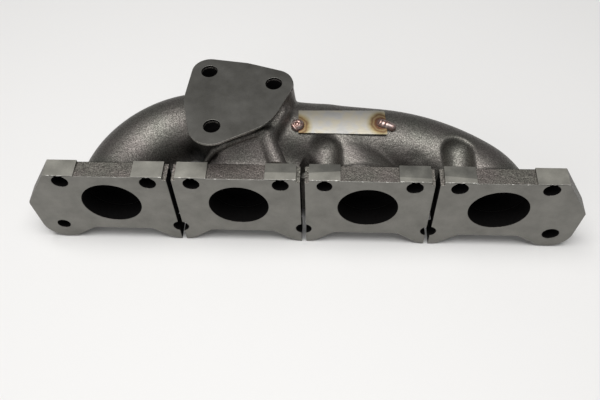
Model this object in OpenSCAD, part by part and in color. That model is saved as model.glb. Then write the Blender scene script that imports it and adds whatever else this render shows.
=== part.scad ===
// Cast iron turbo exhaust manifold for an inline four-cylinder engine.
// Origin: centre of exhaust port 1 on the head gasket face.
// +X runs along the port row to port 4, +Y points away from the cylinder head
// and +Z points up, towards the flat bolt pad over the collector.

/* [Ports] */
// Distance between neighbouring cylinder bores
port_pitch = 88; // [87:0.5:89]
// Diameter of each exhaust port at the gasket face
port_d = 41; // [40:0.5:42]
// Diameter of the gas passage in the cast runners
passage_d = 36; // [34:0.5:36]
// Wall thickness of the cast runners
runner_wall = 6; // [5.5:0.5:6]

/* [Head flanges] */
// Thickness of the four head flanges
flange_t = 13.7; // [13:0.1:15]
// Height of the stud bosses above the port centreline
boss_top = 29.9; // [29.5:0.1:30.5]
// Depth of the cast recesses between the machined boss tops
recess_depth = 1.3; // [1:0.1:2.5]
// Depth of the cast recesses beside the expansion slits
slit_recess_depth = 3; // [2:0.1:3.5]
// Width of each machined boss top
boss_w = 20.6; // [19:0.1:21.5]
// Depth of the scalloped lower edge below the port centreline
lower_edge = 30.5; // [30:0.1:31]
// Width of the expansion slits that part the flanges
slit_w = 3.2; // [2.5:0.1:4]

/* [Stud holes] */
// Distance between the two upper stud holes of one port
stud_span = 59; // [58.5:0.1:59.5]
// Height of the upper stud holes
stud_up = 23.25; // [22.8:0.05:23.4]
// Drop of the lower stud holes
stud_down = 26.9; // [26.5:0.1:27.2]
// Diameter of the upper stud holes
stud_d = 11.2; // [11:0.1:11.6]
// Diameter of the locating hole, the first upper hole of flange 3
locating_d = 10.4; // [10:0.1:11]
// Diameter of the lower holes that the slits part
shared_d = 11.2; // [11:0.1:11.6]
// Diameter of the lower hole at the port 1 end
end_d_first = 9.4; // [9:0.1:10]
// Diameter of the lower hole at the port 4 end
end_d_last = 11.8; // [11:0.1:12]
// Distance from an end port to its lower end hole
end_hole_x = 41.3; // [41:0.1:42]
// Radius of the spanner clearance pockets behind the upper studs
pocket_r = 9; // [8.5:0.1:9]

/* [Collector] */
// Rise of the collector arm that serves ports 3 and 4, in degrees
log_rise = 6.05; // [5.8:0.05:6.3]
// Rise of runner 1, in degrees
runner_1_rise = 9.7; // [9.2:0.1:10]
// Distance of the collector chamber from the gasket face
chamber_y = 56; // [55.5:0.1:56.5]
// Outer diameter of the collector chamber
chamber_d = 58; // [57:0.5:59]

/* [Turbo bolt pad] */
// Height of the machined top of the pad
pad_top = 57; // [56:0.1:58]
// Overall thickness of the pad
pad_t = 10; // [9:0.5:10]
// Thickness of the thin rim at the top of the pad
rim_t = 3; // [2:0.5:4]
// Set-back of the cast underside from the rim
rim_inset = 4; // [3:0.5:5]
// Diameter of the three pad holes
pad_hole_d = 11; // [10.5:0.1:11.5]
// Depth of the two blind pad holes
pad_hole_depth = 15; // [14:0.5:16]

/* [Outlet flange] */
// Thickness of the outlet flange
outlet_t = 12; // [11:0.5:13]
// Diameter of the outlet to the turbine housing
outlet_d = 38; // [36:0.5:38]
// Bolt circle diameter of the outlet flange
outlet_pcd = 58; // [57.5:0.1:58.5]
// Drilled diameter of the tapped outlet flange holes
outlet_hole_d = 8.5; // [8.4:0.1:8.8]

/* [Nameplate] */
// Length of the nameplate
plate_l = 61; // [58:0.5:61]
// Width of the nameplate
plate_w = 19.5; // [17:0.5:20]
// Thickness of the nameplate
plate_t = 1; // [0.8:0.1:1.2]

/* [Hidden] */
$fn = 96;

eps = 0.01;
// Cuts run this far past the faces that they open
lap = 1;
// Straight edges end this far inside the round lobes that they touch
tuck = 0.02;
// Longer than the whole manifold
far = 400;
row_l = 3 * port_pitch;
runner_r = passage_d / 2 + runner_wall;
passage_r = passage_d / 2;
boss_r = 16.3;
end_boss_r = 15.5;
slits = [for (i = [0.5, 1.5, 2.5]) i * port_pitch];
stud_xs = [for (i = [0 : 3], side = [-0.5, 0.5]) i * port_pitch + side * stud_span];

// Head flange profile
corner = [-39.5, boss_top];
tip_reach = 58.5;
tip_z = -3;
tip_r_first = 7;
tip_r_last = 3;
end_lobe = [-end_hole_x, -stud_down];
skirt_w = 22;

// Runner 1 is one quarter bend, measured from the port 1 axis
runner_1_start = 9;
runner_1_bend_r = 54;
tail_lap = 4;
tail_l = 40;

// Runner 4 is a short bend that runs into the long bend and the straight bar of the log
runner_4_bend_r = 36;
runner_4_turn = 55;
log_bend_r = 116.6;
log_turn = 90;
bar_l = 110;
runner_1_centre = [runner_1_bend_r, runner_1_start];
runner_4_centre = [runner_4_bend_r, 0];
runner_4_end = bend_point(runner_4_centre, runner_4_bend_r, runner_4_turn);
log_centre = centre_from(runner_4_end, log_bend_r, runner_4_turn);
log_start = bend_point(log_centre, log_bend_r, log_turn);

// Planes that part the casting into its named sections
runner_1_end = 52;
chamber_end = 126;
log_end = 218;
neck_y = 24;
port_3_end = 50;
pocket_end = 28;
pocket_wall = 3.5;

// Collector chamber
chamber_x = 86;
chamber_r = chamber_d / 2;
chamber_bore_r = 22;
chamber_roof = 37;
pad_under = pad_top - pad_t;
// The outlet face lies just below the flange lobes, so the manifold rests flat on it
outlet_face = -stud_down - boss_r - 0.2;
outlet_top = outlet_face + outlet_t;
// The column under the rear right lobe of the pad
column_r = 12;
column_foot = 20;

// Pad holes and the lobe around each
pad_rear_left = [66.9, 70.8];
pad_rear_right = [111.3, 60];
pad_front = [74, 21.4];
pad_centre = [85.5, 47.5];
pad_disc_r = 32.5;
pad_rear_left_r = 12;
pad_rear_right_r = 13;
pad_front_r = 15.3;

// Outlet flange lobes
outlet_lobe_r = 12;
outlet_angles = [90, 210, 330];

// Nameplate
plate_mid = [155.5, 47.6];
weld_left_r = 5;
weld_right_r = 3.5;

// Headings are angles from +Y towards +X. A bend turns about its centre from one heading to another.
function bend_point(c, r, h) = [c[0] - r * cos(h), c[1] + r * sin(h)];
function centre_from(p, r, h) = [p[0] + r * cos(h), p[1] - r * sin(h)];

// Where the straight edge between two circles touches the one about p, or between a circle and
// a point if qr is 0. Side 1 is the edge on the left as seen from p towards q, and -1 the right.
function touch(p, pr, q, qr, side) =
    let (a = atan2(q[1] - p[1], q[0] - p[0]) + side * acos((pr - qr) / norm(q - p)))
        p + (pr - tuck) * [cos(a), sin(a)];

module bend(c, r, h0, h1, tube_r) {
    translate([c[0], c[1], 0])
        rotate([0, 0, 180 - h1])
            rotate_extrude(angle = h1 - h0)
                translate([r, 0])
                    circle(r = tube_r);
}

module bar(p, l, tube_r) {
    translate([p[0], p[1], 0])
        rotate([0, 90, 0])
            cylinder(h = l, r = tube_r);
}

// Frames of the two rising arms: X towards the collector, Y away from the head
module runner_1_frame() {
    rotate([0, -runner_1_rise, 0])
        children();
}

module log_frame() {
    translate([row_l, 0, 0])
        mirror([1, 0, 0])
            rotate([0, -log_rise, 0])
                children();
}

module runner_1_bar(tube_r) {
    runner_1_frame()
        bend(runner_1_centre, runner_1_bend_r, 0, 90, tube_r);
}

module runner_1_tail(tube_r) {
    runner_1_frame()
        bar([runner_1_bend_r - tail_lap, runner_1_start + runner_1_bend_r], tail_l, tube_r);
}

module runner_4_bar(tube_r, extra) {
    log_frame()
        bend(runner_4_centre, runner_4_bend_r, 0, runner_4_turn + extra, tube_r);
}

module log_bars(tube_r, extra) {
    log_frame() {
        bend(log_centre, log_bend_r, runner_4_turn - extra, log_turn, tube_r);
        bar(log_start, bar_l, tube_r);
    }
}

// A straight tube along Y at port i
module port_bar(i, y0, y1, tube_r) {
    translate([i * port_pitch, y0, 0])
        rotate([-90, 0, 0])
            cylinder(h = y1 - y0, r = tube_r);
}

// The half of space between two X planes, behind a Y plane
module region(x0, x1, y0) {
    translate([x0, y0, -far / 2])
        cube([x1 - x0, far, far]);
}

// Spanner clearance behind one upper stud. With extra it is the iron around that clearance.
module stud_pocket(k, extra) {
    translate([stud_xs[k], flange_t - lap, stud_up])
        rotate([-90, 0, 0])
            cylinder(h = pocket_end + extra - flange_t + lap, r = pocket_r + extra);
}

// Outline of the whole flange row, X to the right and Z up
module row_outline() {
    for (side = [0, 1])
        translate([side * row_l, 0])
            mirror([side, 0])
                row_end(side == 0 ? tip_r_first : tip_r_last);
    translate([0, -lower_edge])
        square([row_l, lower_edge + boss_top]);
    for (x = slits) {
        lobe = [x, -stud_down];
        feet = [for (side = [-1, 1]) [x + side * skirt_w, -lower_edge + eps]];
        translate(lobe)
            circle(r = boss_r);
        polygon([feet[0], touch(lobe, boss_r, feet[0], 0, 1),
            touch(lobe, boss_r, feet[1], 0, -1), feet[1]]);
    }
}

// The pointed end of the row at port 1
module row_end(tip_r) {
    tip = [tip_r - tip_reach, tip_z];
    foot = [-end_hole_x + skirt_w, -lower_edge];
    translate(tip)
        circle(r = tip_r);
    translate(end_lobe)
        circle(r = end_boss_r);
    polygon([
        [eps, boss_top], corner, touch(tip, tip_r, corner, 0, 1),
        touch(tip, tip_r, end_lobe, end_boss_r, -1), touch(end_lobe, end_boss_r, tip, tip_r, 1),
        touch(end_lobe, end_boss_r, foot, 0, -1), foot, [eps, -lower_edge]
    ]);
}

// Cast recesses in the top edge: one over the port and one on each side of a slit
module top_recesses(i) {
    x = i * port_pitch;
    inner = stud_span / 2 - boss_w / 2;
    outer = stud_span / 2 + boss_w / 2;
    translate([x - inner, boss_top - recess_depth])
        square([2 * inner, far]);
    for (side = [-1, 1])
        if (!(i == 0 && side == -1) && !(i == 3 && side == 1))
            translate([side < 0 ? x - port_pitch / 2 : x + outer, boss_top - slit_recess_depth])
                square([port_pitch / 2 - outer, far]);
}

module flange_holes(i) {
    x = i * port_pitch;
    translate([x, 0])
        circle(d = port_d);
    for (side = [-1, 1])
        translate([x + side * stud_span / 2, stud_up])
            circle(d = i == 2 && side == -1 ? locating_d : stud_d);
    for (s = slits)
        if (abs(s - x) < port_pitch)
            translate([s, -stud_down])
                circle(d = shared_d);
    if (i == 0)
        translate([-end_hole_x, -stud_down])
            circle(d = end_d_first);
    if (i == 3)
        translate([row_l + end_hole_x, -stud_down])
            circle(d = end_d_last);
}

module head_flange(i) {
    x0 = i == 0 ? -far : (i - 0.5) * port_pitch + slit_w / 2;
    x1 = i == 3 ? 2 * far : (i + 0.5) * port_pitch - slit_w / 2;
    color([0.36, 0.355, 0.345])
        translate([0, flange_t, 0])
            rotate([90, 0, 0])
                linear_extrude(flange_t)
                    difference() {
                        intersection() {
                            row_outline();
                            translate([x0, -far / 2])
                                square([x1 - x0, far]);
                        }
                        top_recesses(i);
                        flange_holes(i);
                    }
}

module runner_1() {
    color([0.3, 0.3, 0.29])
        intersection() {
            difference() {
                runner_1_bar(runner_r);
                runner_1_bar(passage_r);
            }
            region(-far / 2, runner_1_end, flange_t);
        }
}

module runner_2() {
    color([0.3, 0.3, 0.29])
        difference() {
            port_bar(1, flange_t, neck_y, runner_r);
            port_bar(1, flange_t - lap, neck_y + lap, passage_r);
        }
}

module runner_3() {
    color([0.3, 0.3, 0.29])
        difference() {
            port_bar(2, flange_t, neck_y, runner_r);
            port_bar(2, flange_t - lap, neck_y + lap, passage_r);
        }
}

module runner_4() {
    color([0.3, 0.3, 0.29])
        intersection() {
            difference() {
                runner_4_bar(runner_r, 0);
                difference() {
                    runner_4_bar(passage_r, 1);
                    stud_pocket(6, pocket_wall);
                }
                stud_pocket(6, 0);
            }
            region(port_pitch, far, flange_t);
        }
}

module collector_log() {
    color([0.3, 0.3, 0.29])
        difference() {
            union() {
                intersection() {
                    log_bars(runner_r, 0);
                    region(chamber_end, log_end, flange_t);
                }
                port_bar(2, neck_y, port_3_end, runner_r);
            }
            log_bars(passage_r, 1);
            port_bar(2, neck_y - lap, port_3_end, passage_r);
            stud_pocket(4, 0);
        }
}

module log_bend() {
    color([0.3, 0.3, 0.29])
        difference() {
            intersection() {
                log_bars(runner_r, 0);
                region(log_end, far, flange_t);
            }
            difference() {
                log_bars(passage_r, 1);
                stud_pocket(6, pocket_wall);
            }
            stud_pocket(6, 0);
        }
}

module collector_chamber() {
    color([0.3, 0.3, 0.29])
        difference() {
            union() {
                translate([chamber_x, chamber_y, outlet_top])
                    cylinder(h = pad_under - outlet_top, r = chamber_r);
                rear_right_column(column_r);
                intersection() {
                    runner_1_tail(runner_r);
                    region(runner_1_end, chamber_x, neck_y);
                }
                intersection() {
                    log_bars(runner_r, 0);
                    region(chamber_x, chamber_end, neck_y);
                }
                port_bar(1, neck_y, chamber_y, runner_r);
            }
            translate([chamber_x, chamber_y, outlet_top - lap])
                cylinder(h = chamber_roof - outlet_top + lap, r = chamber_bore_r);
            runner_1_tail(passage_r);
            intersection() {
                log_bars(passage_r, 0);
                region(chamber_x, chamber_end + lap, neck_y);
            }
            port_bar(1, neck_y - lap, chamber_y, passage_r);
            pad_blind_holes();
            stud_pocket(3, 0);
        }
}

module rear_right_column(r) {
    translate([pad_rear_right[0], pad_rear_right[1], column_foot])
        cylinder(h = pad_under - column_foot, r = r);
}

// The two blind holes at the rear of the pad run down into the chamber's wall
module pad_blind_holes() {
    for (p = [pad_rear_left, pad_rear_right])
        translate([p[0], p[1], pad_top - pad_hole_depth])
            cylinder(h = pad_hole_depth + lap, d = pad_hole_d);
}

// The straight-sided web between two round lobes
module web(p, pr, q, qr) {
    polygon([
        touch(p, pr, q, qr, 1), touch(q, qr, p, pr, -1),
        touch(q, qr, p, pr, 1), touch(p, pr, q, qr, -1)
    ]);
}

module pad_outline(inset) {
    rear_left_r = pad_rear_left_r - inset;
    rear_right_r = pad_rear_right_r - inset;
    front_r = pad_front_r - inset;
    disc_r = pad_disc_r - inset;
    translate(pad_centre) circle(r = disc_r);
    translate(pad_rear_left) circle(r = rear_left_r);
    translate(pad_rear_right) circle(r = rear_right_r);
    translate(pad_front) circle(r = front_r);
    web(pad_centre, disc_r, pad_front, front_r);
    web(pad_centre, disc_r, pad_rear_left, rear_left_r);
    web(pad_centre, disc_r, pad_rear_right, rear_right_r);
    web(pad_rear_left, rear_left_r, pad_rear_right, rear_right_r);
}

module turbo_bolt_pad() {
    color([0.34, 0.335, 0.32])
        difference() {
            union() {
                translate([0, 0, pad_top - rim_t])
                    linear_extrude(rim_t)
                        pad_outline(0);
                translate([0, 0, pad_under])
                    linear_extrude(pad_t - rim_t)
                        pad_outline(rim_inset);
            }
            pad_blind_holes();
            translate([pad_front[0], pad_front[1], pad_under - lap])
                cylinder(h = pad_t + 2 * lap, d = pad_hole_d);
        }
}

module outlet_flange() {
    centre = [chamber_x, chamber_y];
    lobes = [for (a = outlet_angles) centre + outlet_pcd / 2 * [cos(a), sin(a)]];
    color([0.34, 0.335, 0.32])
        translate([0, 0, outlet_face])
            linear_extrude(outlet_t)
                difference() {
                    union() {
                        translate(centre) circle(r = chamber_r);
                        for (p = lobes)
                            translate(p) circle(r = outlet_lobe_r);
                        polygon([for (k = [0 : 2], step = [2, 1])
                            touch(lobes[k], outlet_lobe_r, lobes[(k + step) % 3], outlet_lobe_r,
                                step == 2 ? 1 : -1)]);
                    }
                    translate(centre) circle(d = outlet_d);
                    for (p = lobes)
                        translate(p) circle(d = outlet_hole_d);
                }
}

// Places a child on the crest of the log, with X along the log and Z square to it
module on_log_crest() {
    rise = (row_l - plate_mid[0]) * tan(log_rise) + runner_r / cos(log_rise);
    translate([plate_mid[0], plate_mid[1], rise])
        rotate([0, log_rise, 0])
            children();
}

module nameplate() {
    color([0.62, 0.6, 0.55])
        on_log_crest()
            translate([-plate_l / 2, -plate_w / 2, eps])
                cube([plate_l, plate_w, plate_t]);
}

// A weld bead on one end of the nameplate, shaped to the plate and the log under it
module tack_weld(side, bead_r) {
    color([0.5, 0.36, 0.3])
        difference() {
            on_log_crest()
                translate([side * plate_l / 2, 0, 0])
                    sphere(r = bead_r);
            log_bars(runner_r, 0);
            nameplate();
            rear_right_column(column_r + eps);
        }
}

head_flange(0);  // head_flange_1
head_flange(1);  // head_flange_2
head_flange(2);  // head_flange_3
head_flange(3);  // head_flange_4
runner_1();
runner_2();
runner_3();
runner_4();
collector_log();
log_bend();
collector_chamber();
turbo_bolt_pad();
outlet_flange();
nameplate();
tack_weld(-1, weld_left_r);  // tack_weld_left
tack_weld(1, weld_right_r);  // tack_weld_right
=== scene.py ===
"""Looks for a cast iron turbo exhaust manifold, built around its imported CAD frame.

All shape values are millimetres in the frame's own axes: the origin is the centre of port 1 on
the gasket face, +X runs along the ports, +Y points away from the head and +Z is up.
"""
import math
from contextlib import contextmanager

import bmesh
import bpy
import numpy as np
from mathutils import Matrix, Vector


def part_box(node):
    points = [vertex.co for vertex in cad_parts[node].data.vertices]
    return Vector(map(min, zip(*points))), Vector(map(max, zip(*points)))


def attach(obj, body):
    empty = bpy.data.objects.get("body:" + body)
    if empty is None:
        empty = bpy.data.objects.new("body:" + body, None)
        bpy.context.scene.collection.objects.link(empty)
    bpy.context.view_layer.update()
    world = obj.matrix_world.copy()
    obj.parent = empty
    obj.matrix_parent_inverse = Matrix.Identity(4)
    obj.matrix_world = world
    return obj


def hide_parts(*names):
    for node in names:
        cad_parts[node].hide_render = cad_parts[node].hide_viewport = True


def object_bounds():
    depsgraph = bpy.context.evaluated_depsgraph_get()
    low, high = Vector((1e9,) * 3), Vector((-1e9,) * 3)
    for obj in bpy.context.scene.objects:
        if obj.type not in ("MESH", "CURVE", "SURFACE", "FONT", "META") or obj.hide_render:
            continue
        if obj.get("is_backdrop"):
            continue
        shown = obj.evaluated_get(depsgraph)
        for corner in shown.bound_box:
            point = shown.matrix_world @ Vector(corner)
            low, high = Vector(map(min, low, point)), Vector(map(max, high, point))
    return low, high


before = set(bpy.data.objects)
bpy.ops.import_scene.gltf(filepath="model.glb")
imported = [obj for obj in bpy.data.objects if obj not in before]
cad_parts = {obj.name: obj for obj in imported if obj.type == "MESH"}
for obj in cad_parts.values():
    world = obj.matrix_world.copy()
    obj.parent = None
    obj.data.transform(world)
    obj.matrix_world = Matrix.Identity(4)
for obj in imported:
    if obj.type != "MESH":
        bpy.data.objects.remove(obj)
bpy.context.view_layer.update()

import openvdb
from mathutils import Matrix, Vector

MM = 0.001
SHARP_ANGLE = math.radians(18)

# Steps of the grid that the fields are sampled on
CAST_STEP = 1.0
WELD_STEP = 0.35
# A face looks straight along an axis when that part of its normal is above SQUARE, and is
# square to the axis when it is below ACROSS
SQUARE = 0.9
ACROSS = 0.15
# Points this near to a section plane are moved onto it, and what counts as lying on it in metres
SNAP = 0.2
ON_PLANE = 2e-6


# ---------------------------------------------------------------- driving sizes

def corner_mm(node, which):
    """The lowest (0) or highest (1) corner of a CAD node, in millimetres."""
    return np.array(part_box(node)[which]) / MM


PITCH = 88.0
ROW = 3 * PITCH
STUD_SPAN = 59.0
STUD_UP = 23.25
STUD_DOWN = 26.9
FLANGE_T = float(corner_mm("head_flange_1", 1)[1])
BOSS_TOP = float(corner_mm("head_flange_2", 1)[2])
RECESS_TOP = BOSS_TOP - 1.3
TUBE_R = 24.0
PASSAGE_R = 18.0
PORT_R = 20.5
PAD_TOP = float(corner_mm("turbo_bolt_pad", 1)[2])
PAD_UNDER = float(corner_mm("turbo_bolt_pad", 0)[2])
OUTLET_FACE = float(corner_mm("outlet_flange", 0)[2])
OUTLET_TOP = float(corner_mm("outlet_flange", 1)[2])
RIM_T = 1.5
FLANGE_BEVEL = 0.22
RIM_BEVEL = 0.18
OUTLET_BEVEL = 0.6
CHAMBER = (86.0, 56.0)
CHAMBER_R = 29.0
CHAMBER_BORE_R = 22.0
CHAMBER_ROOF = 37.0
PAD_LOBES = ((66.9, 70.8, 12.0), (111.3, 60.0, 13.0), (74.0, 21.4, 15.3))
PAD_DISC = (85.5, 47.5, 32.5)
PAD_HOLE_R = 5.5
STUDS = [i * PITCH + side * STUD_SPAN / 2 for i in range(4) for side in (-1, 1)]
SLITS = [(i + 0.5) * PITCH for i in range(3)]
SLIT_HALF = 1.6
SLIT_DEPTH = 19
END_STUD = 41.3
LOWER_STUDS = SLITS + [-END_STUD, ROW + END_STUD]
UPPER_HOLE = 6.0
LOWER_HOLE = 6.3
BOSS_REACH = 12
# Boss tops with two tones: stud number, where the dark part starts behind the face, and its lean
WORN_BOSSES = ((3, 6.0, 0.0), (4, 7.0, -0.08), (5, 3.6, 0.05), (6, 4.6, 0.1))

# How far a mouth of a gas way narrows for each millimetre behind the flange, and how deep it goes
MOUTH_TAPER = 0.25
MOUTH_DEPTH = 10

# Rising arms: where they start along X, which way they run and their slope
ARM_1 = (0.0, 1, math.radians(9.7))
ARM_4 = (ROW, -1, math.radians(6.05))
BEND_1 = ((54.0, 9.0), 54.0, 0.0, math.radians(90))
BEND_4 = ((36.0, 0.0), 36.0, 0.0, math.radians(55))
BEND_LOG = ((82.23, -66.02), 116.6, math.radians(55), math.radians(90))
LOG_START = (82.23, 50.58)
# Where the bend of runner 4 ends: along its arm, and away from the head
BEND_END = (15.35, 29.49)
RUNNER_3 = ((176, 0, 0), (177, 12, 1), (158, 39, 8), (146, 50, 11))

# Spanner pockets behind the upper studs: stud number, sideways shift, height at the flange,
# where the round end's centre is (distance from the face and height) and radius
POCKETS = ((4, -0.3, 19.5, 25.8, 31.0, 10.8),
           (5, 1.0, 23.0, 20.0, 26.0, 10.0), (6, 0.8, 19.0, 30.2, 27.5, 10.3))
POCKET_WALL = 3.5

# Where the casting is parted: along X at both sides of the chamber and at the log's end, and
# along Y behind the runners' necks, a little nearer behind runner 2
WEST_CUT = 52
EAST_CUT = 126
LOG_END = 218.0
NECK = 24
NECK_2 = 22
CASTING_BOX = ((-30, 11, -46), (292, 102, 60))

# Columns under the pad's bolt bosses: top, foot, the radius at each and the fillet around them
COLUMNS = (((112, 60.5, 52), (114.5, 59, 18), 12.3, 13.5, 3.5),
           ((66.9, 70.8, 60), (72, 68, 34), 10, 10, 4))
# The ridge down the ramp's right edge and the fin under the pad, in the same terms
RIDGES = (((106.5, 31.0, 37.0), (116.5, 13, 23.6), 6.0, 6.2, 1.5),
          ((110, 34, 37.0), (117.5, 47, 42), 3.8, 3.8, 6))
# The ramp's face (point, normal), the round edge around it (x, y, radius) and its box
RAMP_FACE = ((88, FLANGE_T, 27.0), (0, -0.682, 0.731))
RAMP_EDGE = (104, -13, 44.5)
RAMP_BOX = ((62, 5, -5), (108, 60, 44))
# The shelf between the ridge and the log: its face and its box
SHELF_FACE = ((121, 27, 21.0), (0.34, -0.33, 0.88))
SHELF_BOX = ((115, 16, 0), (129, 40, 29))
# The web between the middle runners, before its edges are rounded
WEB_BOX = ((129.5, 23.5, -34), (134.5, 36, 2))
WEB_ROUND = 1.0

# The raised round crest along the upper left edge of the ramp
CREST = ((67.7, 15.8, 28.4), (72.4, 20.4, 33.0), (80.4, 23.7, 36.2), (90.4, 26.6, 38.9),
         (100.3, 29.0, 41.1), (105.0, 30.6, 42.4))
CREST_R = 2.1
# Painted shade on the skin, darkening the deep gaps under the pad's front lobe: centre, fully shaded
# radius and unshaded radius
PAINTED_SHADE_SPOTS = (((58, 34, 8), 8, 20), ((69, 20, 24), 6, 14))

# Nameplate: rear left, rear right, front left and front right corners of its top
PLATE_CORNERS = ((127.75, 52.4, 39.4), (186.35, 56.5, 35.8),
                 (128.4, 35.4, 35.8), (188.1, 38.6, 32.0))
PLATE_T = 0.9
PLATE_CROWN = 0.55
WELD_LEFT = (127.5, 40.8, 37.1)
WELD_RIGHT = ((183.8, 46.2, 34.2), (191.4, 44.5, 32.6))
WELD_LEFT_BOX = ((120, 35, 31), (135, 50, 45))
WELD_RIGHT_BOX = ((177, 34, 26), (198, 54, 41))

# Camera: millimetres of lens on a 36 mm sensor, its place in millimetres and its three axes
LENS = 42.5004
SENSOR = 36
CAMERA_AT = (150.41, -278.30, 394.20)
CAMERA_RIGHT = (0.99891, 0.04057, -0.02315)
CAMERA_DOWN = (0.01937, -0.81074, -0.58509)
CAMERA_AHEAD = (-0.0425, 0.584, -0.81064)
# Studio, in metres and watts: name, place, size and power of each light, aimed at LIT_POINT
LIGHTS = (("overhead", (0.08, -0.11, 1.2), (1.2, 0.7), 17.6),
          ("front_fill", (-0.9, -1.2, 0.95), (1.6, 1.0), 6.0))
LIT_POINT = (0.13, 0.03, 0)
SKY = (0.95, 0.97, 1.0, 1)
SKY_POWER = 0.13
PAPER = (0.8, 0.79, 0.775, 1)
PAPER_ROUGH = 0.6
PAPER_HALF = 4
PAPER_X = 0.13

# Finishes of the flanges' faces and of the pad rim's, in the order of their material slots
FLANGE_LOOKS = ("skin", "recess", "face", "boss", "edge", "bore", "boss_dark")
PAD_LOOKS = ("skin", "pad", "edge", "bore")


# ---------------------------------------------------------------- distance fields

def union(a, b, k=0.0):
    """The nearer of two fields, with a fillet about k wide where they meet."""
    if k <= 0:
        return np.minimum(a, b)
    h = np.clip(0.5 + 0.5 * (b - a) / k, 0, 1)
    return b + (a - b) * h - k * h * (1 - h)


def cut(a, b, k=0.0):
    """Field a with b taken away, its edge rounded over a width of about k."""
    return -union(-a, b, k)


def common(a, b, k=0.0):
    """Where both fields are solid, with the edge rounded over a width of about k."""
    return -union(-a, -b, k)


def cone(p, a, b, ra, rb):
    """A tube from a to b with round ends, whose radius goes from ra to rb. Works in 2-D and 3-D."""
    a, b = np.array(a, np.float32), np.array(b, np.float32)
    axis = b - a
    length = float(np.linalg.norm(axis))
    axis = axis / length
    q = p - a
    along = q @ axis
    off = np.sqrt(np.maximum((q * q).sum(-1) - along * along, 0))
    lean = (ra - rb) / length
    side = math.sqrt(1 - lean * lean)
    key = along * side - off * lean
    body = off * side + along * lean - ra
    start = np.hypot(off, along) - ra
    end = np.hypot(off, along - length) - rb
    return np.where(key < 0, start, np.where(key > side * length, end, body))


def pillar(p, centre, r, low, high):
    """An upright cylinder."""
    side = np.hypot(p[:, 0] - centre[0], p[:, 1] - centre[1]) - r
    return common(side, np.maximum(low - p[:, 2], p[:, 2] - high))


def block(p, low, high):
    """An upright box."""
    low, high = np.array(low, np.float32), np.array(high, np.float32)
    return np.maximum(low - p, p - high).max(-1)


def arm_frame(p, arm):
    """Points in the frame of a rising arm: along it, away from the head, and square to both."""
    start, way, rise = arm
    x = (p[:, 0] - start) * way
    c, s = math.cos(rise), math.sin(rise)
    return np.stack([x * c + p[:, 2] * s, p[:, 1], p[:, 2] * c - x * s], 1)


def arc(q, bend, r):
    """A bent tube in an arm's frame. Headings run from away-from-the-head towards along-the-arm."""
    (cx, cy), radius, first, last = bend
    heading = np.clip(np.arctan2(q[:, 1] - cy, cx - q[:, 0]), first, last)
    best = None
    for h in (heading, first, last):
        d = (q[:, 0] - cx + radius * np.cos(h)) ** 2 + (q[:, 1] - cy - radius * np.sin(h)) ** 2
        best = d if best is None else np.minimum(best, d)
    return np.sqrt(best + q[:, 2] ** 2) - r


def arm_1(p, r):
    """A tube of radius r from port 1 into the chamber."""
    q = arm_frame(p, ARM_1)
    bent = arc(q, BEND_1, r)
    tail = cone(q, (54, 63, 0), (90, 63, 0), r, r)
    return np.minimum(np.minimum(bent, cone(q, (0, -9, 0), (0, 9, 0), r, r)), tail)


def arm_4(p, r):
    """A tube of radius r from port 4 along the log into the chamber."""
    q = arm_frame(p, ARM_4)
    bends = np.minimum(arc(q, BEND_4, r), arc(q, BEND_LOG, r))
    bar = cone(q, (*LOG_START, 0), (186, LOG_START[1], 0), r, r)
    return np.minimum(np.minimum(bends, cone(q, (0, -9, 0), (0, 0, 0), r, r)), bar)


def pad_outline(p):
    """Distance from the pad's outline, seen from above."""
    flat = p[:, :2]
    x, y, r = PAD_DISC
    out = np.hypot(flat[:, 0] - x, flat[:, 1] - y) - r
    for lx, ly, lr in PAD_LOBES:
        out = np.minimum(out, cone(flat, (x, y), (lx, ly), r, lr))
    a, b = PAD_LOBES[0], PAD_LOBES[1]
    return np.minimum(out, cone(flat, a[:2], b[:2], a[2], b[2]))


def plane(p, point, normal):
    """Height above a plane."""
    n = np.array(normal, np.float32)
    n = n / np.linalg.norm(n)
    return (p - np.array(point, np.float32)) @ n


def runner_3(p, r):
    """A tube of radius r from port 3 into the log."""
    legs = [cone(p, a, b, r, r) for a, b in zip(RUNNER_3, RUNNER_3[1:])]
    return union(union(legs[0], legs[1], 2), legs[2])


def pockets(p, wall):
    """The spanner pockets, widened by the wall that is kept around them."""
    out = None
    for k, shift, low, reach, high, r in POCKETS:
        x = STUDS[k] + shift
        pocket = cone(p, (x, 6, low), (x, reach, high), r + wall, r + wall)
        out = pocket if out is None else np.minimum(out, pocket)
    return out


def passages(p):
    """The gas ways inside the casting. They swerve round the spanner pockets."""
    ways = np.minimum(arm_1(p, PASSAGE_R), arm_4(p, PASSAGE_R))
    ways = np.minimum(ways, cone(p, (PITCH, 0, 0), (PITCH, 56, 6), PASSAGE_R, PASSAGE_R))
    ways = np.minimum(ways, runner_3(p, PASSAGE_R))
    ways = np.minimum(ways, pillar(p, CHAMBER, CHAMBER_BORE_R, OUTLET_FACE - 5, CHAMBER_ROOF))
    for i in range(4):
        mouth = (np.hypot(p[:, 0] - i * PITCH, p[:, 2]) - PORT_R
                 + MOUTH_TAPER * (p[:, 1] - FLANGE_T))
        ways = np.minimum(ways, np.maximum(mouth, p[:, 1] - FLANGE_T - MOUTH_DEPTH))
    return cut(ways, pockets(p, POCKET_WALL), 2)


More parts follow.
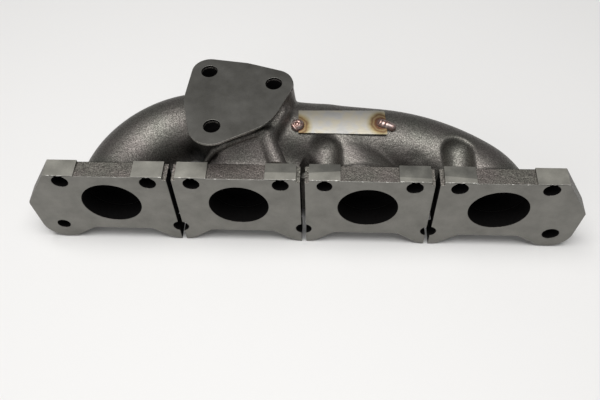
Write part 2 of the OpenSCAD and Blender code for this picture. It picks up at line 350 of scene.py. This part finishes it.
def casting(p):
    """The cast body behind the head flanges, from the flanges' rear faces to the pad's rim."""
    z = p[:, 2]
    chamber = pillar(p, CHAMBER, CHAMBER_R, OUTLET_TOP - 8, PAD_TOP - 6)
    body = union(arm_1(p, TUBE_R), chamber, 10)
    body = union(body, arm_4(p, TUBE_R), 8)
    body = union(body, cone(p, (88, 0, 0), (88, 50, 8), TUBE_R, TUBE_R), 6)
    body = union(body, runner_3(p, TUBE_R), 4)

    # The pad's undercut sides run in at about 45 degrees below the rim
    rim_foot = PAD_TOP - RIM_T
    sides = pad_outline(p) + 1.0 + 1.05 * np.maximum(rim_foot - z, 0)
    for a, b, ra, rb, fillet in COLUMNS:
        body = union(body, cone(p, a, b, ra, rb), fillet)
    body = union(body, np.maximum(sides, PAD_UNDER - 12 - z), 5)

    # The flat ramp from the top of flange 2 up to the pad, ending in a round crest at the left
    x, y, r = RAMP_EDGE
    ramp = common(plane(p, *RAMP_FACE), np.hypot(p[:, 0] - x, p[:, 1] - y) - r, 4)
    body = union(body, np.maximum(ramp, block(p, *RAMP_BOX)), 1.5)
    for a, b in zip(CREST, CREST[1:]):
        body = union(body, cone(p, a, b, CREST_R, CREST_R), 1.0)
    for a, b, ra, rb, fillet in RIDGES:
        body = union(body, cone(p, a, b, ra, rb), fillet)
    body = union(body, np.maximum(plane(p, *SHELF_FACE), block(p, *SHELF_BOX)), 7)
    body = union(body, block(p, *WEB_BOX) - WEB_ROUND, 3)

    # Flange backs, so that every runner swells into its flange
    slab = block(p, (-44, -20, -26), (ROW + 44, FLANGE_T - 0.3, RECESS_TOP - 3.5))
    body = union(body, slab, 5)
    body = cut(body, pockets(p, 0), 3)
    for x in SLITS:
        slit = block(p, (x - SLIT_HALF, 0, -50), (x + SLIT_HALF, SLIT_DEPTH, 60))
        body = cut(body, slit, 1)
    return np.maximum(body, z - rim_foot)


def solid(p):
    """The casting with its passages and holes taken out."""
    body = cut(casting(p), passages(p), 1.5)
    for (x, y, _), low in zip(PAD_LOBES, (42.0, 42.0, 45.0)):
        body = cut(body, pillar(p, (x, y), PAD_HOLE_R, low, PAD_TOP + 5))
    return body


# ---------------------------------------------------------------- meshes

def sampled(field, low, high, step):
    """Quads on the zero surface of a field inside a box."""
    axes = [np.arange(a, b + step, step, dtype=np.float32) for a, b in zip(low, high)]
    values = np.empty([len(a) for a in axes], np.float32)
    yy, zz = np.meshgrid(axes[1], axes[2], indexing="ij")
    for i, x in enumerate(axes[0]):
        p = np.stack([np.full(yy.size, x, np.float32), yy.ravel(), zz.ravel()], 1)
        values[i] = field(p).reshape(yy.shape)
    grid = openvdb.FloatGrid(background=100.0)
    grid.copyFromArray(values)
    points, quads = grid.convertToQuads(isovalue=0.0)
    return points * step + np.array(low, np.float32), quads


def gradient(field, points, h=0.35):
    """Unit normals of a field."""
    out = np.empty((len(points), 3), np.float32)
    for axis in range(3):
        shift = np.zeros(3, np.float32)
        shift[axis] = h
        out[:, axis] = field(points + shift) - field(points - shift)
    return out / np.maximum(np.linalg.norm(out, axis=1, keepdims=True), 1e-9)


@contextmanager
def editing(mesh):
    """A mesh opened for editing. It is written back at the end."""
    bm = bmesh.new()
    bm.from_mesh(mesh)
    yield bm
    bm.to_mesh(mesh)
    bm.free()


def read(items, key, width=1, kind=float):
    """One attribute of all items, as an array with a row for each item."""
    values = np.empty(len(items) * width, kind)
    items.foreach_get(key, values)
    return values.reshape(-1, width) if width > 1 else values


def link(mesh, name, materials):
    """A new piece in the scene."""
    piece = bpy.data.objects.new(name, mesh)
    bpy.context.scene.collection.objects.link(piece)
    for material in materials:
        mesh.materials.append(material)
    return piece


def hand_over(piece, nodes):
    """Puts a finished piece on the frame in place of its CAD nodes."""
    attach(piece, "root")
    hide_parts(*nodes)
    return piece


def node_faces(node):
    """A CAD node's welded points in millimetres and its triangles."""
    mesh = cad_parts[node].data
    co = np.round(read(mesh.vertices, "co", 3) / MM, 4)
    points, index = np.unique(co, axis=0, return_inverse=True)
    mesh.calc_loop_triangles()
    return points, index.ravel()[read(mesh.loop_triangles, "vertices", 3, int)]


def outlines(node, axis, value):
    """The closed outlines of a CAD node's flat face where coordinate axis equals value."""
    points, tris = node_faces(node)
    flat = tris[(np.abs(points[tris][:, :, axis] - value) < 0.02).all(1)]
    count, way = {}, {}
    for t in flat:
        for a, b in zip(t, np.roll(t, -1)):
            key = (min(a, b), max(a, b))
            count[key] = count.get(key, 0) + 1
            way[key] = (a, b)
    follow = {way[k][0]: way[k][1] for k, n in count.items() if n == 1}
    loops = []
    while follow:
        start, nxt = follow.popitem()
        loop = [start]
        while nxt != start:
            loop.append(nxt)
            nxt = follow.pop(nxt)
        keep = [i for i in range(3) if i != axis]
        loops.append(points[loop][:, keep])
    return loops


def plate(name, loops, thickness, bevel, place):
    """A flat plate with bevelled edges. place turns (u, v, height) into the frame, in millimetres."""
    curve = bpy.data.curves.new(name, "CURVE")
    curve.dimensions = "2D"
    curve.fill_mode = "BOTH"
    curve.extrude = (thickness / 2 - bevel) * MM
    curve.bevel_depth = bevel * MM
    curve.bevel_resolution = 1
    curve.offset = -bevel * MM
    for loop in loops:
        spline = curve.splines.new("POLY")
        spline.points.add(len(loop) - 1)
        for point, (u, v) in zip(spline.points, loop):
            point.co = (u * MM, v * MM, 0, 1)
        spline.use_cyclic_u = True
    holder = bpy.data.objects.new(name, curve)
    bpy.context.scene.collection.objects.link(holder)
    ready = holder.evaluated_get(bpy.context.evaluated_depsgraph_get())
    mesh = bpy.data.meshes.new_from_object(ready)
    bpy.data.objects.remove(holder)
    bpy.data.curves.remove(curve)
    for v in mesh.vertices:
        v.co = Vector(place(v.co.x, v.co.y, v.co.z))
    with editing(mesh) as bm:
        bmesh.ops.remove_doubles(bm, verts=bm.verts, dist=1e-6)
        bmesh.ops.recalc_face_normals(bm, faces=bm.faces)
    mesh.name = name
    return mesh


def smooth(mesh):
    """Smooth shading that keeps the sharp edges."""
    mesh.shade_smooth()
    mesh.set_sharp_from_angle(angle=SHARP_ANGLE)


def face_data(mesh):
    """The faces' centres in millimetres and their normals."""
    return read(mesh.polygons, "center", 3) / MM, read(mesh.polygons, "normal", 3)


# ---------------------------------------------------------------- materials

def node(tree, kind, inputs=None, **settings):
    """A shader node. An input is a value, or a socket to be linked."""
    n = tree.nodes.new(kind)
    for key, value in settings.items():
        setattr(n, key, value)
    for key, value in (inputs or {}).items():
        if isinstance(value, bpy.types.NodeSocket):
            tree.links.new(value, n.inputs[key])
        else:
            n.inputs[key].default_value = value
    return n


def new_tree(name, metallic, specular=0.5):
    """A material with a Principled shader, and its texture coordinates in millimetres."""
    material = bpy.data.materials.new(name)
    material.use_nodes = True
    tree = material.node_tree
    shader = tree.nodes["Principled BSDF"]
    shader.inputs["Metallic"].default_value = metallic
    shader.inputs["Specular IOR Level"].default_value = specular
    where = node(tree, "ShaderNodeTexCoord")
    mm = node(tree, "ShaderNodeMapping", {"Vector": where.outputs["Object"],
                                          "Scale": (1 / MM, 1 / MM, 1 / MM)})
    return material, tree, shader, mm.outputs[0]


def noise(tree, at, size, detail=2.0, rough=0.5, stretch=(1, 1, 1)):
    """Noise from 0 to 1 whose grain is about size millimetres."""
    moved = node(tree, "ShaderNodeMapping", {"Vector": at, "Scale": stretch}).outputs[0]
    n = node(tree, "ShaderNodeTexNoise", {"Vector": moved, "Scale": 1 / size, "Detail": detail,
                                           "Roughness": rough})
    return n.outputs["Fac"]


def spread(tree, value, low, high, out_low, out_high):
    """A value between low and high, brought to between out_low and out_high."""
    n = node(tree, "ShaderNodeMapRange", {"Value": value, "From Min": low, "From Max": high,
                                           "To Min": out_low, "To Max": out_high})
    return n.outputs["Result"]


def mix(tree, factor, a, b, kind="MIX"):
    """Colour a blended towards b."""
    n = node(tree, "ShaderNodeMix", data_type="RGBA", blend_type=kind)
    for key, value in ((0, factor), (6, a), (7, b)):
        if isinstance(value, bpy.types.NodeSocket):
            tree.links.new(value, n.inputs[key])
        elif key == 0:
            n.inputs[key].default_value = value
        else:
            n.inputs[key].default_value = (*value, 1.0)
    return n.outputs[2]


def distance(tree, at, centre):
    """Distance in millimetres from a point of the frame."""
    n = node(tree, "ShaderNodeVectorMath", {0: at, 1: centre}, operation="DISTANCE")
    return n.outputs["Value"]


def maths(tree, kind, a, b):
    """A sum on two values."""
    return node(tree, "ShaderNodeMath", {0: a, 1: b}, operation=kind).outputs[0]


def bump(tree, shader, layers):
    """Stacks bump layers: (height socket, strength, depth in millimetres)."""
    normal = None
    for height, strength, depth in layers:
        inputs = {"Height": height, "Strength": strength, "Distance": depth * MM}
        if normal is not None:
            inputs["Normal"] = normal
        normal = node(tree, "ShaderNodeBump", inputs).outputs["Normal"]
    tree.links.new(normal, shader.inputs["Normal"])


def cast_iron(name, dark, light, rough=(0.42, 0.62), grain=0.8, depth=0.22, shade_spots=()):
    """Shot-blasted sand casting: a fine speckle, soft patches, a pitted skin and, where spots are
    given, painted shade around them.
    """
    material, tree, shader, at = new_tree(name, 0.85)
    speckle = noise(tree, at, grain, 2.5, 0.6)
    pits = noise(tree, at, grain * 3.2, 2.0, 0.55)
    patches = noise(tree, at, 22, 3.0, 0.55)
    base = mix(tree, spread(tree, speckle, 0.4, 0.62, 0, 1), dark, light)
    tint = mix(tree, spread(tree, patches, 0.35, 0.65, 0, 1), (0.94, 0.97, 0.92), (1.05, 1.0, 1.0))
    colour = mix(tree, 1.0, base, tint, "MULTIPLY")
    # Painted shade: the colour darkens to about 13 per cent around each spot, standing in for the
    # shade of deep gaps.
    for centre, shaded_r, unshaded_r in shade_spots:
        unshaded = spread(tree, distance(tree, at, centre), shaded_r, unshaded_r, 0, 1)
        shaded = mix(tree, 1.0, colour, (0.13, 0.125, 0.12), "MULTIPLY")
        colour = mix(tree, unshaded, shaded, colour)
    tree.links.new(colour, shader.inputs["Base Color"])
    tree.links.new(spread(tree, speckle, 0.3, 0.7, rough[1], rough[0]), shader.inputs["Roughness"])
    bump(tree, shader, ((speckle, 1.0, depth), (pits, 0.7, depth * 2)))
    return material


def machined_iron(name, dark, light, rough=(0.34, 0.5), stretch=(1, 1, 1)):
    """Milled grey iron: faint tool lines, dull patches and small scratches."""
    material, tree, shader, at = new_tree(name, 0.9)
    grain = noise(tree, at, 0.7, 2.0, 0.6)
    tool = noise(tree, at, 1.2, 2.0, 0.6, stretch)
    patches = noise(tree, at, 16, 3.0, 0.6)
    base = mix(tree, spread(tree, patches, 0.3, 0.7, 0, 1), dark, light)
    fine = mix(tree, spread(tree, grain, 0.3, 0.7, 0, 1), (0.93, 0.93, 0.93), (1.06, 1.06, 1.05))
    colour = mix(tree, 1.0, base, fine, "MULTIPLY")
    tree.links.new(colour, shader.inputs["Base Color"])
    tree.links.new(spread(tree, patches, 0.3, 0.7, rough[0], rough[1]), shader.inputs["Roughness"])
    bump(tree, shader, ((tool, 0.35, 0.03), (grain, 0.3, 0.02)))
    return material


def hole_painted_shade():
    """Near-black painted shade for the inside of the gas ways, bolt holes and slits, where deep holes
    fall into shade.
    """
    material, tree, shader, at = new_tree("hole_painted_shade", 0.0, 0.05)
    grain = noise(tree, at, 1.4, 3.0, 0.6)
    tree.links.new(mix(tree, grain, (0.003, 0.003, 0.003), (0.009, 0.008, 0.008)),
                   shader.inputs["Base Color"])
    shader.inputs["Roughness"].default_value = 0.9
    bump(tree, shader, ((grain, 0.6, 0.2),))
    return material


def tinted_steel():
    """Thin stainless sheet with heat tint around both welds and a faint straw tint between."""
    material, tree, shader, at = new_tree("nameplate_steel", 0.95)
    brushed = noise(tree, at, 0.5, 2.0, 0.6, (0.12, 1, 1))
    cloud = noise(tree, at, 7, 2.0, 0.5)
    base = mix(tree, cloud, (0.27, 0.264, 0.25), (0.34, 0.333, 0.318))
    reach = maths(tree, "MINIMUM", distance(tree, at, WELD_LEFT), distance(tree, at, WELD_RIGHT[0]))
    reach = maths(tree, "ADD", reach, maths(tree, "MULTIPLY", cloud, 4.0))
    ramp = node(tree, "ShaderNodeValToRGB", {"Fac": maths(tree, "MULTIPLY", reach, 1 / 14)})
    stops = ((0.3, (0.3, 0.15, 0.1)), (0.46, (0.3, 0.16, 0.11)), (0.52, (0.62, 0.48, 0.28)),
             (0.58, (0.34, 0.2, 0.12)), (0.65, (0.66, 0.53, 0.3)), (0.74, (0.9, 0.82, 0.62)),
             (0.9, (1.0, 1.0, 1.0)))
    elements = ramp.color_ramp.elements
    for element, (position, colour) in zip(elements, (stops[0], stops[-1])):
        element.position, element.color = position, (*colour, 1)
    for position, colour in stops[1:-1]:
        elements.new(position).color = (*colour, 1)
    straw = mix(tree, 0.35, base, (0.36, 0.3, 0.17))
    field = mix(tree, spread(tree, cloud, 0.4, 0.6, 0, 1), base, straw)
    colour = mix(tree, 1.0, field, ramp.outputs[0], "MULTIPLY")
    tree.links.new(colour, shader.inputs["Base Color"])
    tree.links.new(spread(tree, brushed, 0.3, 0.7, 0.42, 0.52), shader.inputs["Roughness"])
    bump(tree, shader, ((brushed, 0.25, 0.02), (cloud, 0.2, 0.1)))
    return material


def weld_metal():
    """Copper-tinted bead with dark oxide between its ripples."""
    material, tree, shader, at = new_tree("weld_metal", 0.85)
    fine = noise(tree, at, 0.8, 3.0, 0.6)
    spots = noise(tree, at, 3.0, 2.0, 0.6)
    colour = mix(tree, spread(tree, fine, 0.35, 0.65, 0, 1), (0.17, 0.085, 0.07), (0.55, 0.38, 0.33))
    colour = mix(tree, spread(tree, spots, 0.45, 0.6, 0, 0.8), colour, (0.5, 0.42, 0.4))
    tree.links.new(colour, shader.inputs["Base Color"])
    tree.links.new(spread(tree, fine, 0.3, 0.7, 0.5, 0.25), shader.inputs["Roughness"])
    bump(tree, shader, ((fine, 0.5, 0.15),))
    return material


def worn_edge():
    """Front edges of the flanges: bright where the cast skin has been machined away."""
    material, tree, shader, at = new_tree("worn_edge", 0.9)
    broken = noise(tree, at, 3.2, 2.5, 0.6)
    colour = mix(tree, spread(tree, broken, 0.54, 0.66, 0, 1), (0.13, 0.127, 0.117), (0.5, 0.49, 0.46))
    tree.links.new(colour, shader.inputs["Base Color"])
    shader.inputs["Roughness"].default_value = 0.35
    bump(tree, shader, ((broken, 0.4, 0.1),))
    return material


def make_materials():
    """Every finish, by its short name."""
    return {
        "skin": cast_iron("cast_skin", (0.098, 0.0925, 0.085), (0.205, 0.194, 0.18),
                          rough=(0.41, 0.57), depth=0.18, shade_spots=PAINTED_SHADE_SPOTS),
        "recess": cast_iron("cast_recess", (0.11, 0.101, 0.092), (0.33, 0.306, 0.28),
                            grain=0.85, depth=0.3),
        "face": machined_iron("gasket_face", (0.15, 0.146, 0.133), (0.236, 0.23, 0.211),
                              stretch=(0.15, 1, 1.6)),
        "boss": machined_iron("boss_top", (0.34, 0.328, 0.29), (0.45, 0.435, 0.385),
                              rough=(0.4, 0.48)),
        "boss_dark": machined_iron("boss_top_dull", (0.22, 0.214, 0.192), (0.29, 0.282, 0.25)),
        "pad": machined_iron("pad_face", (0.13, 0.125, 0.113), (0.176, 0.171, 0.157),
                             rough=(0.44, 0.48)),
        "edge": worn_edge(),
        "bore": hole_painted_shade(),
        "plate": tinted_steel(),
        "weld": weld_metal(),
    }


# ---------------------------------------------------------------- pieces

def flange_relief(mesh):
    """Cast recesses dip towards the back, and each worn boss top is parted where its tone changes."""
    for v in mesh.vertices:
        _, y, z = (c / MM for c in v.co)
        if abs(z - RECESS_TOP) < 0.4:
            v.co.z += (0.6 - 1.2 * y / FLANGE_T) * MM
    with editing(mesh) as bm:
        for k, line, lean in WORN_BOSSES:
            middle = {f: f.calc_center_median() / MM for f in bm.faces if f.normal.z > SQUARE}
            faces = [f for f, c in middle.items()
                     if abs(c.x - STUDS[k]) < BOSS_REACH and c.z > BOSS_TOP - 0.5]
            edges = list({e for f in faces for e in f.edges})
            verts = list({v for f in faces for v in f.verts})
            bmesh.ops.bisect_plane(bm, geom=verts + edges + faces,
                                   plane_co=Vector((STUDS[k], line, 0)) * MM,
                                   plane_no=(math.sin(lean), math.cos(lean), 0))


def flange_materials(mesh):
    """Gasket face, cast sides and recesses, machined boss tops, bores in near-black painted shade and
    worn front edges.
    """
    centres, normals = face_data(mesh)
    x, y, z = centres.T
    nx, ny, nz = normals.T
    skin, recess, face, boss, edge, bore, boss_dark = range(len(FLANGE_LOOKS))
    index = np.full(len(centres), skin, np.int32)
    up = nz > SQUARE
    index[up & (z < BOSS_TOP - 0.5) & (z > 20)] = recess
    index[up & (z > BOSS_TOP - 0.5)] = boss
    for k, line, lean in WORN_BOSSES:
        behind = (y - line) * math.cos(lean) + (x - STUDS[k]) * math.sin(lean) > 0
        index[(index == boss) & (np.abs(x - STUDS[k]) < BOSS_REACH) & behind] = boss_dark
    index[ny < -SQUARE] = face
    slanted = (ny < -ACROSS) & (ny > -SQUARE)
    index[slanted & (nz > 0.2) & (z > RECESS_TOP - 1.5)] = edge
    # Port bores, stud holes and the slits' lower walls take the near-black painted shade of deep
    # holes.
    side = np.abs(ny) < ACROSS
    for i in range(4):
        index[side & (np.hypot(x - i * PITCH, z) < PORT_R + 0.4)] = bore
    for hx in STUDS:
        index[side & (np.hypot(x - hx, z - STUD_UP) < UPPER_HOLE)] = bore
    for hx in LOWER_STUDS:
        index[side & (np.hypot(x - hx, z + STUD_DOWN) < LOWER_HOLE)] = bore
    for hx in SLITS:
        index[side & (np.abs(nx) > SQUARE) & (np.abs(x - hx) < 2.0) & (z < 25)] = bore
    mesh.polygons.foreach_set("material_index", index)


def head_flange(i, mats):
    """Head flange i, on the outline of its gasket face."""
    name = f"head_flange_{i}"

    def place(u, v, h):
        return (u, FLANGE_T / 2 * MM + h, v)

    mesh = plate(name, outlines(name, 1, 0.0), FLANGE_T, FLANGE_BEVEL, place)
    flange_relief(mesh)
    flange_materials(mesh)
    smooth(mesh)
    piece = link(mesh, name + "_skin", [mats[k] for k in FLANGE_LOOKS])
    return hand_over(piece, [name])


def region(name):
    """The planes that bound a section of the casting: (point, outward normal)."""
    along, away = BEND_END
    turn = BEND_4[3]
    joint = (ROW - along * math.cos(ARM_4[2]), away, 0)
    end = (joint, (math.sin(turn), -math.cos(turn), 0))
    back = (joint, (-math.sin(turn), math.cos(turn), 0))
    west, east = (-1, 0, 0), (1, 0, 0)
    front, rear = (0, -1, 0), (0, 1, 0)
    down, up = (0, 0, -1), (0, 0, 1)
    left, right, log_end = (WEST_CUT, 0, 0), (EAST_CUT, 0, 0), (LOG_END, 0, 0)
    start, neck, neck_2 = (0, FLANGE_T, 0), (0, NECK, 0), (0, NECK_2, 0)
    under_pad, over_outlet = (0, 0, PAD_UNDER), (0, 0, OUTLET_TOP)
    return {
        "runner_1": [(start, front), (left, east)],
        "runner_2": [(start, front), (left, west), (right, east), (neck_2, rear), (under_pad, up)],
        "collector_chamber": [(left, west), (right, east), (neck_2, front),
                              (under_pad, up), (over_outlet, down)],
        "turbo_bolt_pad": [(left, west), (right, east), (under_pad, down)],
        "runner_3": [(start, front), (right, west), (log_end, east), (neck, rear)],
        "collector_log": [(right, west), (neck, front), (log_end, east)],
        "log_bend": [(log_end, west), (start, front), end],
        "runner_4": [(start, front), back],
    }[name]


def cut_out(points, quads, name):
    """The part of the casting's surface in one section, closed at the section's planes."""
    planes = [(np.array(at, float), np.array(out, float)) for at, out in region(name)]
    shape = points.astype(float)
    for at, out in planes:
        off = (shape - at) @ out
        near = np.abs(off) < SNAP
        shape[near] -= off[near, None] * out
    mesh = bpy.data.meshes.new(name)
    mesh.from_pydata((shape * MM).tolist(), [], quads.tolist())
    with editing(mesh) as bm:
        for at, out in planes:
            close_at(bm, Vector(at) * MM, Vector(out))
        bmesh.ops.dissolve_degenerate(bm, edges=bm.edges, dist=1e-6)
        bmesh.ops.recalc_face_normals(bm, faces=bm.faces)
    return mesh


def close_at(bm, at, out):
    """Cuts away what lies past a plane and closes the cut with a cap of material 1."""
    bmesh.ops.bisect_plane(bm, geom=bm.verts[:] + bm.edges[:] + bm.faces[:], plane_co=at,
                           plane_no=out, clear_outer=True, dist=ON_PLANE)
    on = {v for v in bm.verts if abs((v.co - at).dot(out)) < 2 * ON_PLANE}
    flat = {f for v in on for f in v.link_faces if all(w in on for w in f.verts)}
    bmesh.ops.delete(bm, geom=list(flat), context="FACES_ONLY")
    loose = {e for v in on for e in v.link_edges if not e.link_faces}
    bmesh.ops.delete(bm, geom=list(loose), context="EDGES")
    rim = {e for v in bm.verts if v in on for e in v.link_edges
           if len(e.link_faces) == 1 and all(w in on for w in e.verts)}
    if rim:
        edges = sorted(rim, key=lambda e: (*e.verts[0].co, *e.verts[1].co))
        filled = bmesh.ops.triangle_fill(bm, edges=edges, use_beauty=False, normal=out)
        for g in filled["geom"]:
            if isinstance(g, bmesh.types.BMFace):
                g.material_index = 1


def skin_normals(mesh):
    """Smooth normals from the field, and flat ones on the section planes."""
    normals = gradient(solid, read(mesh.vertices, "co", 3, np.float32) / np.float32(MM))
    corners = read(mesh.polygons, "loop_total", 1, int)
    caps = read(mesh.polygons, "material_index", 1, int)
    face_of = np.repeat(np.arange(len(corners)), corners)
    custom = normals[read(mesh.loops, "vertex_index", 1, int)]
    flat = caps[face_of] == 1
    custom[flat] = read(mesh.polygons, "normal", 3)[face_of[flat]]
    mesh.shade_smooth()
    mesh.normals_split_custom_set(custom.tolist())


def blacken_ways(mesh):
    """Gas ways and bolt holes take the near-black painted shade of deep holes."""
    centres, _ = face_data(mesh)
    inside = casting(centres.astype(np.float32)) < -1.2
    mesh.polygons.foreach_set("material_index", inside.astype(np.int32))


def casting_pieces(mats):
    """The casting's surface, parted into its sections."""
    points, quads = sampled(solid, *CASTING_BOX, CAST_STEP)
    for name in ("runner_1", "runner_2", "collector_chamber", "turbo_bolt_pad", "runner_3",
                 "collector_log", "log_bend", "runner_4"):
        mesh = cut_out(points, quads, name)
        skin_normals(mesh)
        blacken_ways(mesh)
        piece = link(mesh, name + "_skin", [mats["skin"], mats["bore"]])
        hand_over(piece, [name])


def pad_rim(mats):
    """The pad's top: a machined face with a thin rim under it."""
    def place(u, v, h):
        return (u, v, (PAD_TOP - RIM_T / 2) * MM + h)

    mesh = plate("pad_rim", outlines("turbo_bolt_pad", 2, PAD_TOP), RIM_T, RIM_BEVEL, place)
    centres, normals = face_data(mesh)
    up = normals[:, 2]
    skin, pad, edge, bore = range(len(PAD_LOOKS))
    index = np.full(len(centres), skin, np.int32)
    index[up > SQUARE] = pad
    index[(up > 0.2) & (up < SQUARE)] = edge
    # The bolt holes' walls take the near-black painted shade of deep holes.
    for x, y, _ in PAD_LOBES:
        near = np.hypot(centres[:, 0] - x, centres[:, 1] - y) < PAD_HOLE_R + 0.25
        index[near & (index != pad)] = bore
    mesh.polygons.foreach_set("material_index", index)
    smooth(mesh)
    piece = link(mesh, "turbo_bolt_pad_face", [mats[k] for k in PAD_LOOKS])
    return hand_over(piece, ["turbo_bolt_pad"])


def outlet(mats):
    """The outlet flange under the chamber, with a machined lower face."""
    def place(u, v, h):
        return (u, v, (OUTLET_FACE + OUTLET_TOP) / 2 * MM + h)

    mesh = plate("outlet_flange_skin", outlines("outlet_flange", 2, OUTLET_FACE),
                 OUTLET_TOP - OUTLET_FACE, OUTLET_BEVEL, place)
    _, normals = face_data(mesh)
    mesh.polygons.foreach_set("material_index", (normals[:, 2] < -SQUARE).astype(np.int32))
    smooth(mesh)
    piece = link(mesh, "outlet_flange_skin", [mats["skin"], mats["face"]])
    return hand_over(piece, ["outlet_flange"])


def nameplate(mats):
    """A thin plate that follows the log a little and stands off it at the front right corner."""
    rear_left, rear_right, front_left, front_right = np.array(PLATE_CORNERS)
    along, across = 32, 10

    def corner(u, v, lift):
        rear = rear_left * (1 - u) + rear_right * u
        front = front_left * (1 - u) + front_right * u
        p = rear * (1 - v) + front * v
        p[2] += lift - PLATE_T + PLATE_CROWN * (1 - (2 * v - 1) ** 2)
        p[2] += 0.25 * math.sin(5.1 * u + 1.0) * (v - 0.5)
        return Vector(p) * MM

    mesh = bpy.data.meshes.new("nameplate")
    with editing(mesh) as bm:
        low, high = ([[bm.verts.new(corner(i / along, j / across, lift)) for j in range(across + 1)]
                      for i in range(along + 1)] for lift in (0.0, PLATE_T))
        for i in range(along):
            for j in range(across):
                bm.faces.new((high[i][j], high[i][j + 1], high[i + 1][j + 1], high[i + 1][j]))
                bm.faces.new((low[i][j], low[i + 1][j], low[i + 1][j + 1], low[i][j + 1]))
        for j in range(across):
            bm.faces.new((low[0][j], low[0][j + 1], high[0][j + 1], high[0][j]))
            bm.faces.new((low[-1][j], high[-1][j], high[-1][j + 1], low[-1][j + 1]))
        for i in range(along):
            bm.faces.new((low[i][0], high[i][0], high[i + 1][0], low[i + 1][0]))
            bm.faces.new((low[i][-1], low[i + 1][-1], high[i + 1][-1], high[i][-1]))
        bmesh.ops.recalc_face_normals(bm, faces=bm.faces)
    smooth(mesh)
    return hand_over(link(mesh, "nameplate_sheet", [mats["plate"]]), ["nameplate"])


def weld_left(p):
    """A round nugget with ripples and a crater."""
    c = np.array(WELD_LEFT, np.float32)
    d = p - c
    round_ = np.sqrt(d[:, 0] ** 2 / 1.15 + d[:, 1] ** 2 + 1.3 * d[:, 2] ** 2) - 4.3
    ripple = 0.22 * np.sin(np.hypot(d[:, 0] - 1.0, d[:, 1]) * 3.6)
    crater = np.linalg.norm(p - (c + np.array((-0.2, -1.2, 3.4), np.float32)), axis=1) - 1.5
    return cut(round_ + ripple, crater, 0.8)


def weld_right(p):
    """A short bead with a drawn-out stub of filler."""
    a, b = WELD_RIGHT
    bead = cone(p, a, b, 3.2, 2.8)
    d = np.hypot(p[:, 0] - a[0] + 2, p[:, 1] - a[1])
    return bead + 0.16 * np.sin(d * 2.4) * np.clip((190 - p[:, 0]) / 5, 0, 1)


def welds(mats):
    """The two tack welds that hold the nameplate."""
    for name, field, box in (("tack_weld_left", weld_left, WELD_LEFT_BOX),
                             ("tack_weld_right", weld_right, WELD_RIGHT_BOX)):
        points, quads = sampled(field, *box, WELD_STEP)
        mesh = bpy.data.meshes.new(name)
        mesh.from_pydata((points * MM).tolist(), [], quads.tolist())
        with editing(mesh) as bm:
            bmesh.ops.recalc_face_normals(bm, faces=bm.faces)
        mesh.shade_smooth()
        hand_over(link(mesh, name + "_bead", [mats["weld"]]), [name])


# ---------------------------------------------------------------- studio

def camera():
    """The camera, looking down at the manifold from the head's side."""
    scene = bpy.context.scene
    lens = bpy.data.cameras.new("camera")
    lens.lens = LENS
    lens.sensor_width = SENSOR
    holder = bpy.data.objects.new("camera", lens)
    axes = (Vector(CAMERA_RIGHT), -Vector(CAMERA_DOWN), -Vector(CAMERA_AHEAD))
    turn = Matrix(axes).transposed().to_4x4()
    turn.translation = Vector(CAMERA_AT) * MM
    holder.matrix_world = turn
    scene.collection.objects.link(holder)
    scene.camera = holder


def studio():
    """Paper under the piece, a dim sky and two soft lights."""
    scene = bpy.context.scene
    scene.view_settings.view_transform = "Standard"
    camera()

    mesh = bpy.data.meshes.new("floor")
    with editing(mesh) as bm:
        bmesh.ops.create_grid(bm, x_segments=1, y_segments=1, size=PAPER_HALF)
    paper, _, shader, _ = new_tree("floor_paper", 0.0, 0.3)
    shader.inputs["Base Color"].default_value = PAPER
    shader.inputs["Roughness"].default_value = PAPER_ROUGH
    floor = link(mesh, "floor", [paper])
    floor.location = (PAPER_X, 0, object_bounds()[0].z)
    floor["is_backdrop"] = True

    world = bpy.data.worlds.new("studio")
    scene.world = world
    world.use_nodes = True
    sky = world.node_tree.nodes["Background"].inputs
    sky["Color"].default_value = SKY
    sky["Strength"].default_value = SKY_POWER

    for name, place, size, power in LIGHTS:
        light = bpy.data.lights.new(name, "AREA")
        light.shape = "RECTANGLE"
        light.size, light.size_y = size
        light.energy = power
        lamp = bpy.data.objects.new(name, light)
        lamp.location = place
        lamp.rotation_euler = (Vector(place) - Vector(LIT_POINT)).to_track_quat("Z", "Y").to_euler()
        scene.collection.objects.link(lamp)


def main():
    """Builds every piece, then the studio around them."""
    mats = make_materials()
    for i in (1, 2, 3, 4):
        head_flange(i, mats)
    casting_pieces(mats)
    pad_rim(mats)
    outlet(mats)
    nameplate(mats)
    welds(mats)
    studio()


main()
